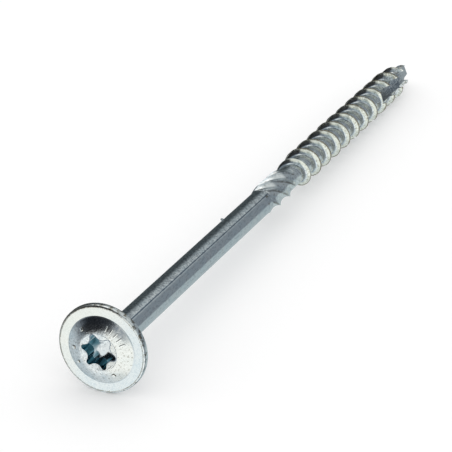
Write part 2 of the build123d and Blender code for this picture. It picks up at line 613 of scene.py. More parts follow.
class ScrewMesh:
    """Builds the whole screw as one closed mesh, in millimetres along +Z, and lays it in its place."""

    def __init__(self, head: Head, shaft: Shaft, slot: Slot, marks: Marks) -> None:
        """Keeps the sizes of the head, the shaft, the slot and the marks.

        Args:
            head: Sizes of the head.
            shaft: Sizes of the shaft.
            slot: Sizes of the slot.
            marks: Sizes of the marks.
        """
        self.head = head
        self.shaft = shaft
        self.slot = slot
        self.marks = marks

    def build(self, place: Place) -> bpy.types.Object:
        """Builds every stretch, joins them, cuts recess and slot, and lays the screw in its place.

        Args:
            place: Where the screw lies.

        Returns:
            The screw, in the frame's metres.
        """
        body = self.lathe_body()
        self.shape_reamer(body)
        screw = self.join(body, self.turn_thread())
        self.combine(screw, self.marks.build(self.head, self.shaft), Joining.ADDED)
        self.cut_recess(screw)
        self.combine(screw, self.slot.cutter(self.shaft), Joining.CUT_OUT)
        self.merge_doubles(screw)
        screw.data.transform(place.matrix())
        make_active(screw)
        bpy.ops.object.shade_smooth_by_angle(angle=math.radians(SMOOTH_ANGLE))
        return screw

    def lathe_body(self) -> bpy.types.Object:
        """Lathes the head, neck, shank and reamer stretch by extruding one ring along the outline.

        Returns:
            The body, open at the reamer's end.
        """
        points = self.head.outline() + self.shaft.outline()
        radius, height = points[0]
        nothing_selected()
        bpy.ops.mesh.primitive_circle_add(
            vertices=AROUND, radius=radius, fill_type="NGON", location=(0, 0, height)
        )
        body = bpy.context.object
        body.name = "body"
        bpy.ops.object.transform_apply(location=True)
        bpy.ops.object.mode_set(mode="EDIT")
        bpy.ops.mesh.select_mode(type="EDGE")
        bpy.ops.mesh.select_all(action="SELECT")
        for next_radius, next_height in points[1:]:
            bpy.ops.mesh.extrude_edges_move(TRANSFORM_OT_translate={"value": (0, 0, next_height - height)})
            scale = next_radius / radius
            bpy.ops.transform.resize(value=(scale, scale, 1), center_override=(0, 0, next_height))
            radius, height = next_radius, next_height
        bpy.ops.object.mode_set(mode="OBJECT")
        return body

    def shape_reamer(self, body: bpy.types.Object) -> None:
        """Turns the rings of the reamer stretch with the ribs and gives them the ribs' section.

        Args:
            body: The lathed body.
        """
        shaft = self.shaft
        phase = shaft.rib_angle(shaft.reamer_start)
        spacing = 2 * math.pi / shaft.ribs
        for vertex in body.data.vertices:
            x, y, height = vertex.co
            radius = math.hypot(x, y)
            column = math.atan2(y, x)
            angle = column + phase
            if height > shaft.reamer_start - 1e-6:
                angle = column + shaft.rib_angle(height)
                share = (column / spacing) % 1
                rib = shaft.reamer_radius(share, height)
                radius = max(rib, shaft.shank if height < shaft.shank_end else 0)
            vertex.co = (radius * math.cos(angle), radius * math.sin(angle), height)

    def turn_thread(self) -> bpy.types.Object:
        """Makes the threaded stretch: a helical grid along the crest, given the ridge's section.

        Returns:
            The stretch, cut level and open at both ends.
        """
        shaft = self.shaft
        offsets = shaft.row_offsets()
        nothing_selected()
        bpy.ops.mesh.primitive_plane_add(size=2, location=(0, 0, 0))
        strip = bpy.context.object
        strip.name = "thread"
        bpy.ops.object.mode_set(mode="EDIT")
        bpy.ops.mesh.select_mode(type="VERT")
        bpy.ops.mesh.select_all(action="DESELECT")
        bpy.ops.object.mode_set(mode="OBJECT")
        for vertex in strip.data.vertices:
            vertex.select = vertex.co.x < 0
        bpy.ops.object.mode_set(mode="EDIT")
        bpy.ops.mesh.delete(type="VERT")
        bpy.ops.mesh.select_all(action="SELECT")
        bpy.ops.mesh.subdivide(number_cuts=len(offsets) - 2)
        bpy.ops.object.mode_set(mode="OBJECT")
        start_turn = math.radians(shaft.thread_turn)
        first = shaft.thread_start - shaft.lead_in_turns * shaft.pitch
        ordered = sorted(strip.data.vertices, key=lambda v: v.co.y)
        for vertex, offset in zip(ordered, offsets):
            vertex.co = (math.cos(start_turn), math.sin(start_turn), first + offset)
        turning = strip.modifiers.new("turning", "SCREW")
        turning.axis = "Z"
        turning.steps = AROUND
        turning.render_steps = AROUND
        turning.angle = 2 * math.pi
        turning.screw_offset = shaft.pitch
        turning.iterations = math.ceil((shaft.length - first) / shaft.pitch) + 1
        turning.use_normal_calculate = True
        apply_modifier(strip, turning)
        self.merge_doubles(strip)
        for vertex in strip.data.vertices:
            angle = math.atan2(vertex.co.y, vertex.co.x)
            radius = shaft.thread_radius(angle, vertex.co.z)
            vertex.co = (radius * math.cos(angle), radius * math.sin(angle), vertex.co.z)
        self.trim(strip, shaft.reamer_end + shaft.bridge_gap, keep_above=True)
        self.trim(strip, shaft.length, keep_above=False)
        return strip

    @staticmethod
    def merge_doubles(piece: bpy.types.Object) -> None:
        """Merges the points of a piece that lie on each other.

        Args:
            piece: The piece.
        """
        make_active(piece)
        bpy.ops.object.mode_set(mode="EDIT")
        bpy.ops.mesh.select_mode(type="VERT")
        bpy.ops.mesh.select_all(action="SELECT")
        bpy.ops.mesh.remove_doubles(threshold=MERGE)
        bpy.ops.object.mode_set(mode="OBJECT")

    @staticmethod
    def trim(piece: bpy.types.Object, height: float, keep_above: bool) -> None:
        """Cuts a piece level at a height and keeps one side of the cut.

        Args:
            piece: The piece to cut.
            height: Height of the cut.
            keep_above: Whether the side above the cut stays.
        """
        make_active(piece)
        bpy.ops.object.mode_set(mode="EDIT")
        bpy.ops.mesh.select_all(action="SELECT")
        bpy.ops.mesh.bisect(
            plane_co=(0, 0, height),
            plane_no=(0, 0, 1),
            clear_inner=keep_above,
            clear_outer=not keep_above,
            use_fill=False,
            threshold=1e-5,
        )
        bpy.ops.object.mode_set(mode="OBJECT")

    def join(self, body: bpy.types.Object, thread: bpy.types.Object) -> bpy.types.Object:
        """Joins body and thread, bridges the gap between their rings and closes the tip.

        Args:
            body: The lathed body.
            thread: The threaded stretch.

        Returns:
            The body, now the whole screw.
        """
        nothing_selected()
        thread.select_set(True)
        body.select_set(True)
        bpy.context.view_layer.objects.active = body
        bpy.ops.object.join()
        self.select_rims(body, self.shaft.reamer_end)
        bpy.ops.mesh.bridge_edge_loops()
        self.select_rims(body, self.shaft.length)
        bpy.ops.mesh.edge_face_add()
        bpy.ops.mesh.select_all(action="SELECT")
        bpy.ops.mesh.normals_make_consistent(inside=False)
        bpy.ops.object.mode_set(mode="OBJECT")
        return body

    @staticmethod
    def select_rims(piece: bpy.types.Object, height: float, reach: float = 1.5) -> None:
        """Enters edit mode with the open edges near a height selected.

        Args:
            piece: The piece with the open edges.
            height: The height.
            reach: How far from it the edges may lie.
        """
        make_active(piece)
        bpy.ops.object.mode_set(mode="EDIT")
        bpy.ops.mesh.select_mode(type="EDGE")
        bpy.ops.mesh.select_all(action="DESELECT")
        bpy.ops.mesh.select_non_manifold(
            extend=False, use_wire=False, use_boundary=True, use_multi_face=False,
            use_non_contiguous=False, use_verts=False,
        )
        bpy.ops.object.mode_set(mode="OBJECT")
        vertices = piece.data.vertices
        for edge in piece.data.edges:
            distances = [abs(vertices[index].co.z - height) for index in edge.vertices]
            if edge.select and max(distances) > reach:
                edge.select = False
        bpy.ops.object.mode_set(mode="EDIT")

    def cut_recess(self, screw: bpy.types.Object) -> None:
        """Cuts the coined rim of the six-lobe recess and then the recess itself.

        Args:
            screw: The screw.
        """
        head, wider = self.head, self.head.coined_width
        coined = replace(
            head,
            across_lobes=head.across_lobes + 2 * wider,
            across_teeth=head.across_teeth + 2 * wider,
            lobe_round=head.lobe_round + wider,
        )
        fall = head.cone_depth(head.mouth_half_angle) / 2
        self.cut_prism(screw, coined.cutter_outline(), head.top + fall + head.coined_depth, fall)
        rise = head.cone_depth(head.floor_half_angle) / 2
        self.cut_prism(screw, head.cutter_outline(), head.top + head.depth, rise)

    def cut_prism(self, screw: bpy.types.Object, outline: list, floor: float, rise: float) -> None:
        """Cuts a prism that ends in a flat cone out of the head.

        Args:
            screw: The screw to cut.
            outline: The prism's section as (x, y) points.
            floor: Height of the cone halfway between its tip and the mouth's radius.
            rise: How far its tip lies beyond that height.
        """
        nothing_selected()
        bpy.ops.mesh.primitive_circle_add(vertices=len(outline), radius=1, fill_type="NGON")
        cutter = bpy.context.object
        cutter.name = "cutter"
        above = self.head.top - self.head.cutter_clearance
        for vertex, (x, y) in zip(cutter.data.vertices, outline):
            vertex.co = (x, y, above)
        bpy.ops.object.mode_set(mode="EDIT")
        bpy.ops.mesh.select_mode(type="FACE")
        bpy.ops.mesh.select_all(action="SELECT")
        bpy.ops.mesh.extrude_region_move(TRANSFORM_OT_translate={"value": (0, 0, floor - above)})
        bpy.ops.mesh.poke()
        bpy.ops.object.mode_set(mode="OBJECT")
        for vertex in cutter.data.vertices:
            if vertex.co.z > between(above, floor, 0.5):
                radius = math.hypot(vertex.co.x, vertex.co.y)
                vertex.co.z = floor + rise * (1 - 2 * radius / self.head.mouth)
        self.combine(screw, cutter, Joining.CUT_OUT)

    @staticmethod
    def combine(screw: bpy.types.Object, other: bpy.types.Object, joining: Joining) -> None:
        """Cuts another solid out of the screw, or joins it on, and removes it.

        Args:
            screw: The screw.
            other: The other solid.
            joining: Whether it is added or cut out.
        """
        make_active(other)
        bpy.ops.object.mode_set(mode="EDIT")
        bpy.ops.mesh.select_all(action="SELECT")
        bpy.ops.mesh.normals_make_consistent(inside=False)
        bpy.ops.object.mode_set(mode="OBJECT")
        combining = screw.modifiers.new("combining", "BOOLEAN")
        combining.operation = joining.value
        combining.solver = "EXACT"
        combining.object = other
        apply_modifier(screw, combining)
        bpy.data.objects.remove(other, do_unlink=True)


class Tint(Enum):
    """Colours of the plating where it is thick, thin, stained or worn, and of the highlights and shade
    painted on it.
    """

    PLAIN = (0.72, 0.745, 0.77, 1.0)
    CREAM = (0.90, 0.87, 0.76, 1.0)
    PALE = (0.75, 0.77, 0.69, 1.0)
    BLUE = (0.56, 0.68, 0.76, 1.0)
    DEEP_BLUE = (0.07, 0.11, 0.17, 1.0)
    TEAL = (0.05, 0.165, 0.215, 1.0)
    ICE = (0.88, 0.95, 1.0, 1.0)
    # Worn plating, and also the colour of painted shade on the marks, the rim and the ribs.
    WORN = (0.17, 0.135, 0.085, 1.0)
    DULL = (0.30, 0.32, 0.35, 1.0)
    BRIGHT = (0.97, 0.98, 0.97, 1.0)
    SLATE = (0.24, 0.28, 0.34, 1.0)


class Board:
    """Adds nodes to one node tree."""

    def __init__(self, tree: bpy.types.NodeTree) -> None:
        """Keeps the tree."""
        self.tree = tree

    def add(self, kind: str, settings: dict, inputs: dict) -> bpy.types.Node:
        """Adds one node.

        Args:
            kind: The node's type.
            settings: Its properties, set before its inputs.
            inputs: Wires, sockets or plain values for its inputs, by name or number.

        Returns:
            The node.
        """
        node = self.tree.nodes.new(kind)
        for name, value in settings.items():
            setattr(node, name, value)
        for name, value in inputs.items():
            self.feed(node.inputs[name], value)
        return node

    def feed(self, socket: bpy.types.NodeSocket, value: object) -> None:
        """Feeds a socket from a wire, another socket, a tint or a plain value.

        Args:
            socket: The socket.
            value: What feeds it.
        """
        source = value.socket if isinstance(value, Wire) else value
        source = value.value if isinstance(value, Tint) else source
        if isinstance(source, bpy.types.NodeSocket):
            self.tree.links.new(source, socket)
        else:
            socket.default_value = source

    def mixed(self, share: object, first: object, second: object) -> "Wire":
        """A colour a share of the way from the first to the second."""
        node = self.add("ShaderNodeMix", {"data_type": "RGBA"}, {"Factor": share, 6: first, 7: second})
        return Wire(self, node.outputs[2])

    def noise(self, way: object, scale: float, detail: float = 2.0, roughness: float = 0.5) -> "Wire":
        """Soft noise from 0 to 1 over a vector, so many grains to its unit."""
        inputs = {"Vector": way, "Scale": scale, "Detail": detail, "Roughness": roughness}
        return Wire(self, self.add("ShaderNodeTexNoise", {}, inputs).outputs["Fac"])

    def joined(self, x: object, y: object, z: object) -> "Wire":
        """A vector of three values."""
        return Wire(self, self.add("ShaderNodeCombineXYZ", {}, {"X": x, "Y": y, "Z": z}).outputs["Vector"])


class Wire:
    """A shader socket on which maths is written as plain expressions."""

    def __init__(self, board: Board, socket: bpy.types.NodeSocket) -> None:
        """Keeps the board and the socket."""
        self.board = board
        self.socket = socket

    def _math(self, operation: str, *values: object) -> "Wire":
        """Adds one Math node."""
        node = self.board.add("ShaderNodeMath", {"operation": operation}, dict(enumerate(values)))
        return Wire(self.board, node.outputs[0])

    def __add__(self, other: object) -> "Wire":
        """Sum."""
        return self._math("ADD", self, other)

    __radd__ = __add__

    def __mul__(self, other: object) -> "Wire":
        """Product."""
        return self._math("MULTIPLY", self, other)

    __rmul__ = __mul__

    def __sub__(self, other: object) -> "Wire":
        """Difference."""
        return self._math("SUBTRACT", self, other)

    def __rsub__(self, other: object) -> "Wire":
        """Difference, from a number."""
        return self._math("SUBTRACT", other, self)

    def __truediv__(self, other: object) -> "Wire":
        """Quotient."""
        return self._math("DIVIDE", self, other)

    def __pow__(self, other: object) -> "Wire":
        """Power."""
        return self._math("POWER", self, other)

    def __abs__(self) -> "Wire":
        """Size without the sign."""
        return self._math("ABSOLUTE", self)

    def most(self, other: object) -> "Wire":
        """The larger of two values."""
        return self._math("MAXIMUM", self, other)

    def fraction(self) -> "Wire":
        """What remains over the whole number below."""
        return self._math("FRACT", self)

    def turn(self, other: object) -> "Wire":
        """The angle in degrees of a point whose across is this and whose along is the other."""
        return self._math("ARCTAN2", self, other) * math.degrees(1)

    def ramp(self, low: float, high: float) -> "Wire":
        """A smooth step from 0 at low to 1 at high, or from 1 down to 0 where low is the higher.

        Args:
            low: The value that gives 0.
            high: The value that gives 1.

        Returns:
            The step.
        """
        inputs = {"Value": self, "From Min": min(low, high), "From Max": max(low, high)}
        inputs |= {"To Min": float(low > high), "To Max": float(low < high)}
        node = self.board.add("ShaderNodeMapRange", {"interpolation_type": "SMOOTHSTEP"}, inputs)
        return Wire(self.board, node.outputs["Result"])

    def window(self, low: float, high: float, soft: float) -> "Wire":
        """1 between two values and 0 beyond them, with soft ends."""
        return self.ramp(low - soft, low) * self.ramp(high + soft, high)


@dataclass
class Local:
    """Wires for where a surface point lies on the screw, in millimetres and degrees, and its blotches."""

    board: Board
    point: Wire
    along: Wire
    across: Wire
    height: Wire
    radius: Wire
    turn: Wire
    cloud: Wire
    grain: Wire
    mottle: Wire

    @classmethod
    def on(cls, board: Board, place: Place, facing: float) -> "Local":
        """Reads the object coordinates and turns them to the screw's own axes.

        Args:
            board: The material's board.
            place: Where the screw lies.
            facing: Angle about the screw's axis that becomes the along direction, in degrees.

        Returns:
            The wires; turn runs from -180 to 180 about the along direction.
        """
        turned = place.matrix() @ Matrix.Rotation(math.radians(facing), 4, "Z")
        shift, spin, scale = turned.inverted().decompose()
        where = board.add("ShaderNodeTexCoord", {}, {}).outputs["Object"]
        inputs = {"Vector": where, "Location": shift, "Rotation": spin.to_euler(), "Scale": scale}
        mapping = board.add("ShaderNodeMapping", {"vector_type": "POINT"}, inputs)
        point = Wire(board, mapping.outputs["Vector"])
        parts = board.add("ShaderNodeSeparateXYZ", {}, {"Vector": point}).outputs
        along, across, height = (Wire(board, parts[name]) for name in ("X", "Y", "Z"))
        return cls(
            board=board,
            point=point,
            along=along,
            across=across,
            height=height,
            radius=(along * along + across * across) ** 0.5,
            turn=across.turn(along),
            cloud=board.noise(point, 0.5, 3.0),
            grain=board.noise(point, 5.0, 3.0, 0.6),
            mottle=board.noise(point, 2.4, 4.0, 0.75),
        )

    def stretched(self, across: float, height: float) -> Wire:
        """The point with its place across the screw and its height scaled, for drawn-out noise."""
        return self.board.joined(self.along * across, self.across * across, self.height * height)


@dataclass(frozen=True)
class Speck:
    """One tint that comes up as a noise runs from a first value to a second."""

    tint: Tint
    start: float
    full: float
    strength: float


@dataclass(frozen=True)
class Specks:
    """Specks of several tints over one noise."""

    scale: float
    detail: float
    roughness: float
    kinds: tuple

    def over(self, colour: Wire, way: Wire, area: Wire) -> Wire:
        """Lays the specks over a colour.

        Args:
            colour: The colour below.
            way: The vector that the noise runs over.
            area: Share of the surface that has them.

        Returns:
            The colour with its specks.
        """
        board = colour.board
        noise = board.noise(way, self.scale, self.detail, self.roughness)
        for kind in self.kinds:
            share = area * noise.ramp(kind.start, kind.full) * kind.strength
            colour = board.mixed(share, colour, kind.tint)
        return colour


@dataclass(frozen=True)
class Zinc:
    """Bright blue-white zinc plating over forged and rolled steel, with its tints, its wear and the
    highlights and shade painted on it.

    Turns are in degrees about the axis from the side that faces the camera, heights and radii in
    millimetres. A pair is the start and the end of a ramp, and three values are a window with soft ends.
    """

    head: Head
    shaft: Shaft
    slot: Slot
    marks: Marks
    place: Place
    facing: float = 220.9
    seam_turn: float = -8.4
    seam_ends: tuple = (3.0, 57.5, 0.6)
    slot_from: tuple = (110.0, 110.5)
    slot_inner_brown: tuple = (121.0, 116.0)
    slot_tip: tuple = (124.5, 128.0)
    lit_core: tuple = (-18.0, 14.0)
    before_slot: tuple = (117.0, 113.0)
    foot_strip: tuple = (0.77, 0.85, 0.03)
    bright_foot: tuple = (4.0, 26.0)
    shaded_foot: tuple = (-36.0, -10.0, 14.0)
    point_from: tuple = (110.0, 124.0)
    # Turn windows of the dome's warm tint with its painted highlight, and of its painted dark reflection.
    warm_lit_dome: tuple = (0.0, 90.0, 40.0)
    shaded_dome: tuple = (-70.0, 2.0, 26.0)
    shaded_dome_radius: tuple = (3.7, 4.9)
    # Turns over which painted shade darkens the rim's top.
    shaded_rim: tuple = (-48.0, -70.0)
    burrs_from: tuple = (104.0, 125.0)
    hammered_until: tuple = (62.5, 59.0)
    shank_specks: Specks = Specks(
        2.7, 3.0, 0.7, (Speck(Tint.DULL, 0.52, 0.40, 0.7), Speck(Tint.BRIGHT, 0.54, 0.66, 0.9))
    )
    shank_streaks: Specks = Specks(
        1.0, 3.0, 0.7, (Speck(Tint.DULL, 0.52, 0.38, 0.3), Speck(Tint.WORN, 0.62, 0.72, 0.25))
    )
    reamer_specks: Specks = Specks(
        2.6, 2.0, 0.65, (Speck(Tint.WORN, 0.57, 0.65, 0.45), Speck(Tint.BRIGHT, 0.44, 0.36, 0.7))
    )
    rolled_lines: Specks = Specks(
        1.0, 3.0, 0.6, (Speck(Tint.SLATE, 0.48, 0.38, 0.6), Speck(Tint.BRIGHT, 0.54, 0.62, 0.75))
    )
    thread_specks: Specks = Specks(
        3.0, 2.0, 0.65, (Speck(Tint.WORN, 0.58, 0.66, 0.4), Speck(Tint.BRIGHT, 0.42, 0.34, 0.6))
    )
    point_specks: Specks = Specks(
        1.7, 5.0, 0.8, (Speck(Tint.WORN, 0.50, 0.42, 0.75), Speck(Tint.BRIGHT, 0.56, 0.62, 0.85))
    )
    dome_specks: Specks = Specks(
        3.2, 2.0, 0.65, (Speck(Tint.WORN, 0.57, 0.66, 0.45), Speck(Tint.BRIGHT, 0.46, 0.36, 0.45))
    )
    rim_blotches: Specks = Specks(
        1.3, 4.0, 0.75, (Speck(Tint.BRIGHT, 0.50, 0.58, 0.85), Speck(Tint.WORN, 0.49, 0.41, 0.85))
    )

    def material(self) -> bpy.types.Material:
        """The plating as a material.

        Returns:
            The material.
        """
        made = bpy.data.materials.new("zinc")
        made.use_nodes = True
        board = Board(made.node_tree)
        shader = made.node_tree.nodes["Principled BSDF"]
        here = Local.on(board, self.place, self.facing)
        shader.inputs["Metallic"].default_value = 1.0
        board.feed(shader.inputs["Base Color"], self.colour(here))
        board.feed(shader.inputs["Roughness"], self.roughness(here))
        board.feed(shader.inputs["Normal"], self.relief(here))
        return made

    def on_shank(self, here: Local) -> Wire:
        """Share of the plain shank at a point."""
        return here.height.window(0.2, self.shaft.shank_end, 0.1)

    def on_rough_side(self, here: Local) -> Wire:
        """Share of the shank's rough side, before the seam, at a point."""
        return self.on_shank(here) * here.turn.ramp(self.seam_turn + 0.5, self.seam_turn - 0.5)

    def on_smooth_side(self, here: Local) -> Wire:
        """Share of the shank's smooth side, past the seam, at a point."""
        return self.on_shank(here) * here.turn.ramp(self.seam_turn - 0.5, self.seam_turn + 0.5)

    def on_thread(self, here: Local) -> Wire:
        """Share of the threaded stretch at a point."""
        return here.height.ramp(self.shaft.reamer_end - 0.6, self.shaft.reamer_end)

    def on_head(self, here: Local) -> Wire:
        """Share of the head at a point."""
        return here.height.ramp(0.05, -0.05)

    def on_annulus(self, here: Local) -> Wire:
        """Share of the head outside its dome at a point."""
        return self.on_head(here) * here.radius.ramp(self.head.dome_foot - 0.05, self.head.dome_foot + 0.1)

    def on_dome(self, here: Local) -> Wire:
        """Share of the dome at a point."""
        return self.on_head(here) * here.radius.ramp(self.head.dome_foot, self.head.dome_foot - 0.2)

    def dome_height(self, here: Local) -> Wire:
        """Height of the bare dome at a point's radius.

        Args:
            here: Where the surface point lies.

        Returns:
            The height in millimetres.
        """
        head = self.head
        share = (here.radius - head.lip) / (head.dome_foot - head.lip)
        return head.top + share * head.dome_rise - (share - share * share) * head.dome_swell

    def under_mouth(self, here: Local) -> Wire:
        """How far a point lies below the recess's countersunk mouth."""
        cone = (self.head.mouth - here.radius) / math.tan(math.radians(self.head.mouth_half_angle))
        return here.height - self.head.top - cone

    def in_recess(self, here: Local) -> Wire:
        """Share of the recess's walls and floor at a point."""
        inside = here.radius.ramp(self.head.mouth + 0.02, self.head.mouth - 0.02)
        return inside * self.under_mouth(here).ramp(0.03, 0.08)

    def in_slot(self, here: Local) -> Wire:
        """Share of the slot's milled faces at a point.

        Args:
            here: Where the surface point lies.

        Returns:
            The share, 1 on the faces.
        """
        slot, turn = self.slot, math.radians(self.slot.turn - self.facing)
        along = here.along * math.cos(turn) + here.across * math.sin(turn)
        across = here.across * math.cos(turn) - here.along * math.sin(turn)
        before = (self.shaft.length - slot.length - here.height).most(0.0)
        fall = (slot.cutter_radius**2 - before * before).most(0.01) ** 0.5
        floor = slot.floor + slot.cutter_radius - fall
        wide = abs(across).ramp(slot.width / 2 + 0.03, slot.width / 2 + 0.01)
        return wide * (along - floor).ramp(-0.04, -0.02) * here.height.ramp(*self.slot_from)

    def ridge_share(self, here: Local) -> Wire:
        """How far up the ridge a point lies, 0 on the core and 1 on the crest."""
        return (here.radius - self.shaft.core) / (self.shaft.crest - self.shaft.core)

    def pitch_share(self, here: Local) -> Wire:
        """Share of the way from one crest of the thread to the next.

        Args:
            here: Where the surface point lies.

        Returns:
            The share, from 0 to 1.
        """
        shaft = self.shaft
        turned = here.turn + (self.facing - shaft.thread_turn)
        return ((here.height - shaft.thread_start) / shaft.pitch - turned / 360.0 + 10.0).fraction()

    def rib_share(self, here: Local) -> Wire:
        """Share of the way from one rib's crest to the next.

        Args:
            here: Where the surface point lies.

        Returns:
            The share, from 0 to 1.
        """
        shaft = self.shaft
        twist = (here.height - shaft.shank_end) * (360.0 / shaft.rib_lead)
        turned = here.turn + (self.facing - shaft.rib_turn + 360.0) - twist
        return (turned * (shaft.ribs / 360.0) + 10.0).fraction()

    def rolled_way(self, here: Local) -> Wire:
        """A vector for noise in fine lines along the thread's helix, as the rolling dies leave them."""
        lines = self.pitch_share(here) * (self.shaft.pitch * 3.4)
        return here.board.joined(here.along * 0.7, here.across * 0.7, lines)

    def seam(self, here: Local) -> Wire:
        """Share of the shank's rolling seam at a point: one thin jagged line.

        Args:
            here: Where the surface point lies.

        Returns:
            The share, 1 on the line.
        """
        board = here.board
        jag = board.noise(board.joined(0.0, 0.0, here.height), 1.6, 3.0) - 0.5
        off = abs(here.turn - self.seam_turn + jag * 3.0)
        width = board.noise(board.joined(3.0, 0.0, here.height), 0.9) * 4.0 + 0.6
        return (width - off).ramp(-0.7, 0.7) * here.height.window(*self.seam_ends)

    def colour(self, here: Local) -> Wire:
        """The plating's colour: blotches, and then the tints, painted highlights and painted shade of each
        stretch, one over the other.

        Args:
            here: Where the surface point lies.

        Returns:
            The colour.
        """
        colour = here.board.mixed(here.cloud.ramp(0.35, 0.7) * 0.35, Tint.PLAIN, Tint.BLUE)
        stretches = (
            self.tint_core,
            self.tint_flanks,
            self.tint_foot,
            self.tint_worn_thread,
            self.tint_annulus,
            self.tint_dome,
            self.tint_marks,
            self.tint_rim,
            self.tint_recess,
            self.tint_shank,
            self.tint_reamer,
            self.tint_seam,
            self.tint_slot,
        )
        for tint in stretches:
            colour = tint(here, colour)
        return colour

    def tint_core(self, here: Local, colour: Wire) -> Wire:
        """A mottled core between the ridge's turns, brighter on the lit side.

        Args:
            here: Where the surface point lies.
            colour: The colour below.

        Returns:
            The colour with these tints over it.
        """
        board = here.board
        core = self.on_thread(here) * self.ridge_share(here).ramp(0.10, 0.03)
        colour = board.mixed(core * here.mottle.ramp(0.50, 0.36) * 0.5, colour, Tint.DULL)
        colour = board.mixed(core * here.mottle.ramp(0.56, 0.66) * 0.6, colour, Tint.BRIGHT)
        lit = here.turn.ramp(*self.lit_core) * (here.mottle.ramp(0.34, 0.52) * 0.5 + 0.4)
        return board.mixed(core * lit, colour, Tint.BRIGHT)

    def tint_flanks(self, here: Local, colour: Wire) -> Wire:
        """Pale flanks, bluer near their foot and chipped near the crest.

        Args:
            here: Where the surface point lies.
            colour: The colour below.

        Returns:
            The colour with these tints over it.
        """
        board = here.board
        thread, share = self.on_thread(here), self.ridge_share(here)
        pale = share.window(0.45, 1.0, 0.35) * (here.mottle.ramp(0.36, 0.56) * 0.35 + 0.6)
        colour = board.mixed(thread * pale, colour, Tint.PALE)
        inner = share.window(0.12, 0.3, 0.08) * here.height.ramp(*self.before_slot)
        colour = board.mixed(thread * inner * 0.35, colour, Tint.BLUE)
        chipped = share.ramp(0.2, 0.5) * (here.mottle + (here.grain - 0.5) * 0.6).ramp(0.56, 0.70)
        return board.mixed(thread * chipped * 0.6, colour, Tint.WORN)

    def tint_foot(self, here: Local, colour: Wire) -> Wire:
        """A strip along the ridge's foot, with a painted highlight on the lit side and deep blue painted
        shade above it.

        Args:
            here: Where the surface point lies.
            colour: The colour below.

        Returns:
            The colour with these tints over it.
        """
        board = here.board
        strip = self.on_thread(here) * self.pitch_share(here).window(*self.foot_strip)
        foot = strip * here.height.ramp(*self.before_slot)
        # Painted highlight on the lit side of the foot strip.
        colour = board.mixed(foot * here.turn.ramp(*self.bright_foot) * 0.7, colour, Tint.BRIGHT)
        # Painted shade, deep blue, in the foot strip above it.
        shaded = here.turn.window(*self.shaded_foot) * (here.cloud.ramp(0.35, 0.55) * 0.6 + 0.25)
        return board.mixed(foot * shaded, colour, Tint.DEEP_BLUE)

    def tint_worn_thread(self, here: Local, colour: Wire) -> Wire:
        """A brown worn crest, rolled lines inside it, specks all over and a stained point.

        Args:
            here: Where the surface point lies.
            colour: The colour below.

        Returns:
            The colour with these tints over it.
        """
        thread, share = self.on_thread(here), self.ridge_share(here)
        crest = (share + (here.grain - 0.5) * 0.16).ramp(0.80, 0.88)
        colour = here.board.mixed(thread * crest * 0.85, colour, Tint.WORN)
        colour = self.rolled_lines.over(colour, self.rolled_way(here), thread * share.ramp(0.6, 0.2))
        colour = self.thread_specks.over(colour, here.point, thread)
        return self.point_specks.over(colour, here.point, here.height.ramp(*self.point_from))

    def tint_annulus(self, here: Local, colour: Wire) -> Wire:
        """A ring round the dome, bluish on one side and cream on the other, with worn specks.

        Args:
            here: Where the surface point lies.
            colour: The colour below.

        Returns:
            The colour with these tints over it.
        """
        board = here.board
        annulus = self.on_annulus(here)
        cream_side = (here.across / here.radius).ramp(0.7, -1.0)
        colour = board.mixed(annulus * (1.0 - cream_side) * 0.3, colour, Tint.BLUE)
        colour = board.mixed(annulus * cream_side * 0.4, colour, Tint.CREAM)
        colour = board.mixed(annulus * here.mottle.ramp(0.40, 0.56) * 0.3, colour, Tint.BRIGHT)
        specks = (here.mottle + (here.grain - 0.5) * 0.7).ramp(0.66, 0.74)
        return board.mixed(annulus * specks * 0.5, colour, Tint.WORN)

    def tint_dome(self, here: Local, colour: Wire) -> Wire:
        """A specked dome, warm with a painted highlight on one side, and with a painted dark reflection
        along its foot on the other.

        Args:
            here: Where the surface point lies.
            colour: The colour below.

        Returns:
            The colour with these tints over it.
        """
        board = here.board
        dome = self.on_dome(here)
        # Warm tint with a painted highlight on one side of the dome.
        warm = here.turn.window(*self.warm_lit_dome)
        colour = board.mixed(dome * warm * 0.35, colour, Tint.BRIGHT)
        colour = board.mixed(dome * warm * 0.25, colour, Tint.CREAM)
        colour = self.dome_specks.over(colour, here.point, dome)
        # Painted dark reflection along the dome's foot on the other side.
        dark = here.turn.window(*self.shaded_dome) * here.radius.ramp(*self.shaded_dome_radius)
        return board.mixed(dome * dark * (here.mottle.ramp(0.60, 0.44) * 0.35 + 0.5), colour, Tint.SLATE)

    def tint_marks(self, here: Local, colour: Wire) -> Wire:
        """Painted shade on the sides and painted highlights on the tops of the raised ticks and dots.

        Args:
            here: Where the surface point lies.
            colour: The colour below.

        Returns:
            The colour with these tints over it.
        """
        board, marks = here.board, self.marks
        raised = self.dome_height(here) - here.height
        ring = self.on_head(here) * here.radius.window(marks.reach - 0.7, marks.reach + 0.7, 0.1)
        # Painted shade on the marks' sides.
        sides = raised.window(0.008, marks.rise - 0.025, 0.006)
        colour = board.mixed(ring * sides * 0.95, colour, Tint.WORN)
        # Painted highlight on the marks' tops.
        tops = raised.ramp(marks.rise - 0.02, marks.rise - 0.005)
        return board.mixed(ring * tops * 0.9, colour, Tint.BRIGHT)

